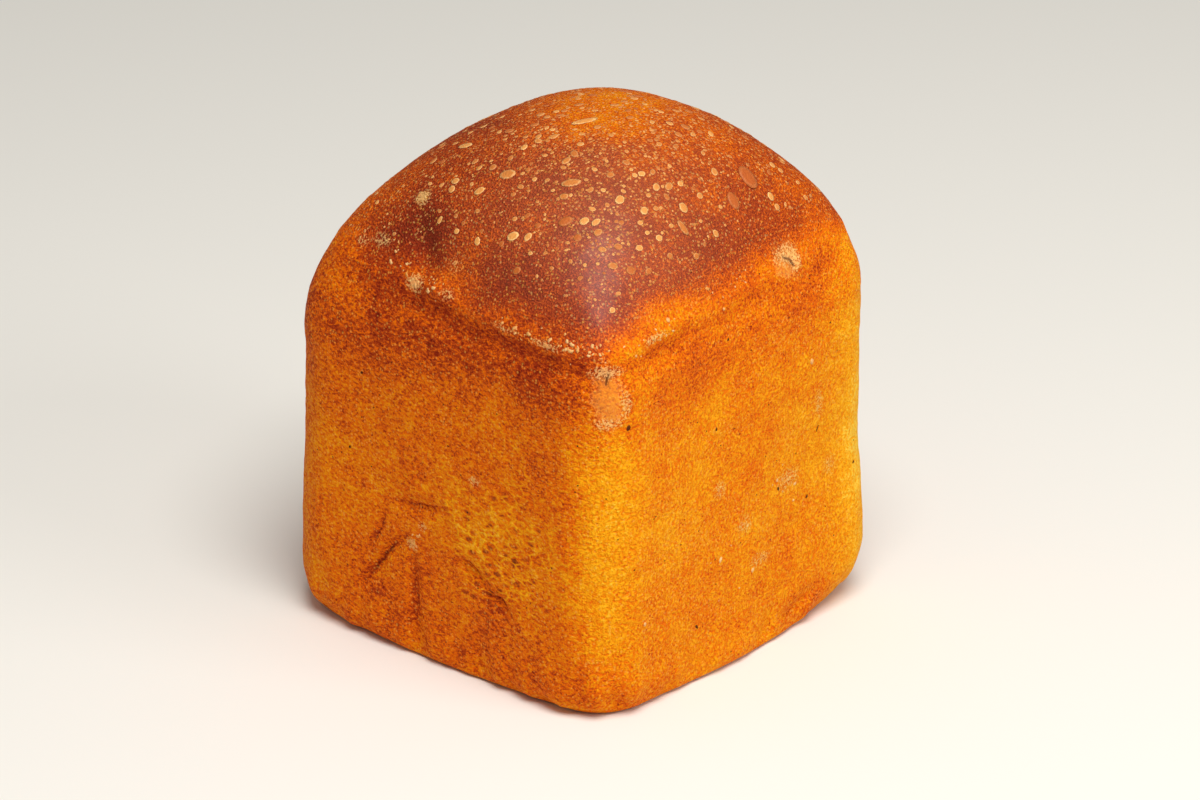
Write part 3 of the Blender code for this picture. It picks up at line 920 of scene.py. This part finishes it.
# Blisters of the dome: gas bubbles, most of 0.5 to 3 mm and a few larger, that the steam raised in the skin.
# Each is a thin low cap, paler than the crust round it, with a darker foot.
BLISTER_SIDES = 12
BLISTER_RINGS = 5
BLISTER_HEIGHT = 0.16  # share of the radius
NAMED_BLISTERS = (  # x and y in the plan, radius, stretch, turn in degrees, paleness
    (0.002, -0.0295, 0.0016, 1.5, 30, 0.62),
    (0.0195, -0.0255, 0.0013, 2.1, 20, 0.55),
    (0.032, -0.0215, 0.0012, 1.35, 45, 0.9),
    (0.029, -0.0315, 0.0011, 1.25, 40, 0.95),
    (0.0315, -0.03, 0.0009, 1.6, 40, 0.9),
    (0.0335, -0.0315, 0.001, 1.3, 45, 0.5),
    (0.025, -0.034, 0.0014, 1.4, 40, 0.16),
    (0.0145, -0.0415, 0.0013, 1.35, 35, 0.95),
    (0.005, -0.0445, 0.0009, 1.35, 120, 1.0),
    (-0.0025, -0.044, 0.0008, 1.1, 0, 1.0),
    (-0.0025, -0.035, 0.0011, 1.5, 50, 0.9),
    (0.0215, -0.043, 0.0006, 1.2, 0, 0.9),
    (0.0425, -0.026, 0.0009, 1.15, 0, 0.9),
    (0.0435, -0.0195, 0.0009, 1.2, 0, 0.95),
    (0.0415, -0.008, 0.0013, 1.2, 90, 0.8),
    (0.0375, -0.0185, 0.001, 1.35, 45, 0.9),
    (0.035, -0.011, 0.001, 1.3, 50, 0.8),
    (0.048, -0.0025, 0.0009, 1.3, 110, 0.8),
    (0.0445, -0.0115, 0.001, 2.4, 100, 0.45),
    (0.0445, 0.008, 0.0017, 1.5, 90, 0.1),
    (0.0415, 0.0165, 0.0024, 1.5, 90, 0.06),
    (0.0495, -0.0115, 0.0009, 1.2, 0, 0.45),
    (0.0445, -0.0315, 0.0012, 1.1, 0, 0.25),
    (0.0305, -0.0115, 0.0009, 1.2, 0, 1.0),
    (0.038, 0.008, 0.001, 1.3, 60, 0.7),
    (-0.019, -0.022, 0.0011, 2.4, 50, 1.0),
    (0.0065, -0.0055, 0.0012, 3.2, 45, 0.9),
)
BLISTER_COUNT = 1900
BLISTER_RADII = (0.00024, 0.0011)
BLISTER_SMALLNESS = 5.0  # the higher, the more of them are small
BLISTER_STRETCH = (1.0, 1.5)
BLISTER_TONES = (0.15, 1.0)
DOME_HALF = (0.048, 0.05)  # where blisters are tried: the left, front and back ends, and the right end
THICKEST = (0.026, -0.006, 0.026)  # where they lie thickest, x and y, and how far round it
EVEN_SHARE = 0.4  # how thick they lie elsewhere
EVEN_HALF = 0.046
BLISTER_RIM_COLOURS = ((0.54, 0.13, 0.024, 1.0), (0.95, 0.56, 0.2, 1.0))  # the dullest and the palest
BLISTER_TOP_COLOURS = ((0.5, 0.105, 0.018, 1.0), (0.7, 0.235, 0.028, 1.0))
BLISTER_FOOT_COLOUR = (0.2, 0.03, 0.008, 1.0)
BLISTER_GRAIN_COLOUR = (0.36, 0.06, 0.012, 1.0)
BLISTER_BUMP = 0.00012
draw = np.random.default_rng(7)


def dome_place(x, y):
    """A place on the dome over a point of the plan."""
    return (x, y, float(dome_height(np.array(x), np.array(y), WIDTH / 2, DEPTH / 2)))


def drawn_radius(radii, smallness):
    least, most = radii
    return least + (most - least) * draw.uniform() ** smallness


blister_matrices = []
blister_tones = []
blister_rooms = []
for x, y, radius, stretch, turn, tone in NAMED_BLISTERS:
    size = (radius * stretch, radius, radius * BLISTER_HEIGHT)
    blister_matrices.append(seated_matrix(dome_place(x, y), math.radians(turn), size))
    blister_tones.append(tone)
    blister_rooms.append((x, y, radius * stretch))
far_end, right_end = DOME_HALF
thickest_x, thickest_y, thickest_reach = THICKEST
while len(blister_matrices) < BLISTER_COUNT:
    x, y = draw.uniform(-far_end, right_end), draw.uniform(-far_end, far_end)
    off_x, off_y = (x - thickest_x) / thickest_reach, (y - thickest_y) / thickest_reach
    thickest = math.exp(-(off_x**2 + off_y**2))
    even = EVEN_SHARE * math.exp(-((max(abs(x), abs(y)) / EVEN_HALF) ** 8))
    if draw.uniform() > thickest + even:
        continue
    radius = drawn_radius(BLISTER_RADII, BLISTER_SMALLNESS)
    stretch = draw.uniform(*BLISTER_STRETCH)
    if any(math.hypot(x - there_x, y - there_y) < radius + room for there_x, there_y, room in blister_rooms):
        continue
    blister_rooms.append((x, y, radius))
    size = (radius * stretch, radius, radius * BLISTER_HEIGHT)
    blister_matrices.append(seated_matrix(dome_place(x, y), draw.uniform(0, math.pi), size))
    blister_tones.append(draw.uniform(*BLISTER_TONES))

cap = bmesh.new()
bmesh.ops.create_uvsphere(cap, u_segments=BLISTER_SIDES, v_segments=BLISTER_RINGS, radius=1.0)
cap_outness = [math.hypot(vert.co.x, vert.co.y) * (1 if vert.co.z > -0.1 else 1.2) for vert in cap.verts]
blister_mesh = joined("dome_blisters", finished_mesh("blister_cap", cap), blister_matrices)
carry(blister_mesh, "outness", np.tile(cap_outness, len(blister_matrices)))
carry(blister_mesh, "tone", np.repeat(blister_tones, len(cap_outness)))
bubble = Finish("blister_finish", Coat_Weight=0.18, Coat_Roughness=0.42, Specular_IOR_Level=0.1)
tone = bubble.at("tone")
out = bubble.at("outness") + 0.25 * (bubble.grain(0.0006) - 0.5)
rim_tint = bubble.mixed(tone, *BLISTER_RIM_COLOURS)
top_tint = bubble.mixed(tone, *BLISTER_TOP_COLOURS)
blister_tint = bubble.mixed((1.0 - 0.3 * tone) * bubble.step(out, 0.8, 0.62), rim_tint, top_tint)
foot_share = (0.18 + 0.82 * tone) * bubble.step(out, 0.86, 1.0)
footed = bubble.mixed(foot_share, blister_tint, BLISTER_FOOT_COLOUR)
bubble_grain = bubble.grain(SAND_SIZE)
bubble.feed("Base Color", bubble.mixed(0.42 * bubble_grain * (1.1 - tone), footed, BLISTER_GRAIN_COLOUR))
bubble.feed("Roughness", 0.5 + 0.3 * (bubble_grain - 0.5))
bubble.bump(bubble_grain, BLISTER_BUMP)
add_piece("dome_blisters", blister_mesh, bubble)

# Crumbs of the lip: where the rising dough tore away from the tin's rim it left pale rough crumbs, and a few
# more lie loose on the sides.
CRUMB_RUNS = (  # start, end, spread, how many
    ((0.018, -0.0535, 0.1015), (0.04, -0.052, 0.1), 0.001, 16),
    ((0.04, -0.052, 0.0998), (0.05, -0.0476, 0.0982), 0.0011, 24),
    ((-0.024, -0.046, 0.108), (-0.01, -0.0499, 0.1016), 0.0014, 20),
    ((-0.01, -0.0499, 0.1016), (0.004, -0.0501, 0.1022), 0.0009, 16),
    ((0.05, -0.046, 0.0985), (0.053, -0.025, 0.1), 0.0012, 14),
    ((0.053, -0.02, 0.101), (0.053, 0.01, 0.103), 0.002, 9),
    ((0.0553, 0.012, 0.04), (0.056, 0.02, 0.05), 0.004, 7),
    ((0.056, -0.014, 0.03), (0.056, 0.008, 0.024), 0.005, 8),
    ((-0.01, -0.0551, 0.031), (-0.004, -0.055, 0.038), 0.0007, 8),
    ((-0.03, 0.053, 0.101), (0.03, 0.053, 0.103), 0.0015, 36),
    ((-0.053, -0.02, 0.103), (-0.053, 0.03, 0.103), 0.0015, 26),
)
SINGLE_CRUMBS = (  # place and radius
    ((0.0553, 0.0252, 0.0742), 0.0008),
    ((0.053, -0.027, 0.1025), 0.0007),
    ((0.056, -0.04, 0.025), 0.0006),
    ((0.0131, -0.055, 0.056), 0.0006),
    ((-0.0558, 0.014, 0.062), 0.0007),
)
CRUMB_RADII = (0.00018, 0.0005)
CRUMB_SMALLNESS = 2.4
CRUMB_STRETCH = (1.0, 2.2)
CRUMB_FLATNESS = (0.35, 0.65)
CRUMB_SINK = 0.15
CRUMB_ROUGHNESS = 0.7
CRUMB_COLOURS = ((0.78, 0.32, 0.06, 1.0), (0.94, 0.58, 0.24, 1.0))  # the brownest and the palest
CRUMB_GRAIN_COLOUR = (0.62, 0.24, 0.05, 1.0)
CRUMB_BUMP = 0.00008


def rough_lump(name, unevenness, shift):
    """A small uneven lump with a radius of about one."""
    shape = bmesh.new()
    bmesh.ops.create_uvsphere(shape, u_segments=8, v_segments=5, radius=1.0)
    for vert in shape.verts:
        vert.co *= 1 + unevenness * noise.noise(vert.co * 1.3 + Vector((shift, 0, 0)))
    return finished_mesh(name, shape)


crumb_matrices = []
for place, radius in SINGLE_CRUMBS:
    size = (radius, radius * 0.8, radius * 0.5)
    crumb_matrices.append(seated_matrix(place, 1.0, size, radius * CRUMB_SINK))
for start, end, spread, count in CRUMB_RUNS:
    for _ in range(count):
        place = np.array(start) + draw.uniform() * (np.array(end) - np.array(start))
        place = place + spread * draw.normal(size=3)
        radius = drawn_radius(CRUMB_RADII, CRUMB_SMALLNESS)
        size = (radius * draw.uniform(*CRUMB_STRETCH), radius, radius * draw.uniform(*CRUMB_FLATNESS))
        crumb_matrices.append(seated_matrix(place, draw.uniform(0, math.pi), size, radius * CRUMB_SINK))
crumb_mesh = joined("lip_crumbs", rough_lump("crumb", CRUMB_ROUGHNESS, 0.0), crumb_matrices)
crumb_size = len(crumb_mesh.vertices) // len(crumb_matrices)
carry(crumb_mesh, "tone", np.repeat(draw.uniform(size=len(crumb_matrices)), crumb_size))
crumbly = Finish("crumb_finish", Roughness=0.6, Specular_IOR_Level=0.2)
crumb_tint = crumbly.mixed(crumbly.at("tone"), *CRUMB_COLOURS)
crumb_tint = crumbly.mixed(0.35 * crumbly.grain(0.0005), crumb_tint, CRUMB_GRAIN_COLOUR)
crumbly.feed("Base Color", crumb_tint)
crumbly.bump(crumbly.grain(0.0004), CRUMB_BUMP, 0.8)
add_piece("lip_crumbs", crumb_mesh, crumbly)

# Specks: flecks of burnt flour and bran that baked onto the crust, nearly black and flat
SPECKS = (  # place, half length, half width, turn in degrees
    ((-0.0296, -0.0548, 0.0523), 0.0005, 0.00038, 30),
    ((-0.0249, -0.0545, 0.0744), 0.0005, 0.00042, 10),
    ((0.0541, -0.0442, 0.0794), 0.0008, 0.00062, 40),
    ((0.0554, -0.0119, 0.068), 0.0005, 0.0004, 60),
    ((0.0547, -0.0067, 0.0905), 0.0005, 0.00036, 20),
    ((0.0558, 0.0286, 0.054), 0.0011, 0.00024, 65),
    ((0.0561, 0.0125, 0.043), 0.0006, 0.00044, 100),
    ((0.056, 0.0443, 0.0392), 0.0005, 0.0004, 20),
    ((0.0569, -0.0202, 0.0166), 0.0007, 0.0004, 120),
    ((0.0563, 0.0244, 0.0365), 0.0006, 0.0004, 30),
    ((0.011, -0.0549, 0.047), 0.00035, 0.00028, 0),
    ((0.054, 0.033, 0.082), 0.00035, 0.00028, 0),
    ((-0.02, 0.055, 0.064), 0.0007, 0.0005, 15),
    ((0.026, 0.055, 0.056), 0.0005, 0.0004, 80),
    ((0.001, 0.055, 0.024), 0.0009, 0.00026, 50),
    ((-0.056, -0.02, 0.058), 0.0006, 0.00044, 110),
    ((-0.056, 0.024, 0.072), 0.0005, 0.00036, 35),
)
FINE_SPECK_COUNT = 170
FINE_SPECK_RADIUS = 0.0002
FINE_SPECK_STRETCH = (0.8, 1.6)
SPECK_THICKNESS = 0.3
SPECK_ROUGHNESS = 0.7
LOWEST_SPECK = 0.004
SPECK_BOX = (0.056, 0.055)  # half the width, and the middle height, of the box they are strewn from
SPECK_COLOURS = ((0.055, 0.012, 0.003, 1.0), (0.16, 0.04, 0.008, 1.0))

speck_matrices = []
for place, half_length, half_width, turn in SPECKS:
    size = (half_length, half_width, half_width * SPECK_THICKNESS)
    speck_matrices.append(seated_matrix(place, math.radians(turn), size))
box_half, box_middle = SPECK_BOX
for _ in range(FINE_SPECK_COUNT):
    direction = draw.normal(size=3) * np.array((1, 1, 0.5))
    place = direction / np.abs(direction).max() * box_half + np.array((0, 0, box_middle))
    length = FINE_SPECK_RADIUS * draw.uniform(*FINE_SPECK_STRETCH)
    size = (length, FINE_SPECK_RADIUS, FINE_SPECK_RADIUS * SPECK_THICKNESS)
    if seat(place)[0].z > LOWEST_SPECK:
        speck_matrices.append(seated_matrix(place, draw.uniform(0, math.pi), size))
speck_mesh = joined("crust_specks", rough_lump("speck", SPECK_ROUGHNESS, 5.0), speck_matrices)
burnt = Finish("speck_finish", Roughness=0.8, Specular_IOR_Level=0.05)
burnt.feed("Base Color", burnt.mixed(burnt.grain(0.0003), *SPECK_COLOURS))
add_piece("crust_specks", speck_mesh, burnt)

# Stage: a plain pale floor under soft studio light, seen from the height of a person seated at the table
FLOOR_SIZE = 8.0
FLOOR_COLOUR = (0.86, 0.83, 0.76, 1.0)
floor_shape = bmesh.new()
bmesh.ops.create_grid(floor_shape, x_segments=1, y_segments=1, size=FLOOR_SIZE / 2)
floor_mesh = finished_mesh("floor", floor_shape)
floor = placed("floor", floor_mesh)
paint = Finish("floor_paint", Base_Color=FLOOR_COLOUR, Roughness=0.9)
floor_mesh.materials.append(paint.material)

LIGHTS = (  # name, azimuth, elevation, size, power
    ("key", 55.0, 63.0, 0.8, 16.6),
    ("side", 100.0, 28.0, 0.6, 4.0),
)
LIGHT_DISTANCE = 1.3
SKY_COLOUR = (1.0, 0.985, 0.96, 1.0)
SKY_STRENGTH = 0.25


def from_loaf(azimuth, elevation, distance, height):
    """A place round the loaf: azimuth 0 is in front and 90 to its right."""
    turn, rise = math.radians(azimuth), math.radians(elevation)
    level = distance * math.cos(rise)
    return Vector((level * math.sin(turn), -level * math.cos(turn), height + distance * math.sin(rise)))


def aimed(thing, place, target):
    thing.location = place
    thing.rotation_euler = (target - place).to_track_quat("-Z", "Y").to_euler()


for name, azimuth, elevation, size, power in LIGHTS:
    light = bpy.data.lights.new(name, "AREA")
    light.shape = "DISK"
    light.size = size
    light.energy = power
    light_place = from_loaf(azimuth, elevation, LIGHT_DISTANCE, CORE_HEIGHT)
    aimed(placed(name, light), light_place, Vector((0, 0, CORE_HEIGHT)))
world = bpy.data.worlds.new("studio")
world.use_nodes = True
world.node_tree.nodes["Background"].inputs["Color"].default_value = SKY_COLOUR
world.node_tree.nodes["Background"].inputs["Strength"].default_value = SKY_STRENGTH
bpy.context.scene.world = world
bpy.context.scene.view_settings.view_transform = "Standard"

# Camera: a long lens 1.5 m away, looking down a little at the loaf's near corner
CAMERA_AZIMUTH = 41.16
CAMERA_ELEVATION = 24.1
CAMERA_DISTANCE = 1.5
CAMERA_LENS = 176.3
CAMERA_AIM = Vector((0.0076, -0.0009, 0.0579))
camera_data = bpy.data.cameras.new("camera")
camera_data.lens = CAMERA_LENS
camera_data.clip_start = 0.01
camera = placed("camera", camera_data)
camera_place = from_loaf(CAMERA_AZIMUTH, CAMERA_ELEVATION, CAMERA_DISTANCE, CORE_HEIGHT)
aimed(camera, camera_place - Vector(middle.tolist()), CAMERA_AIM)
bpy.context.scene.camera = camera
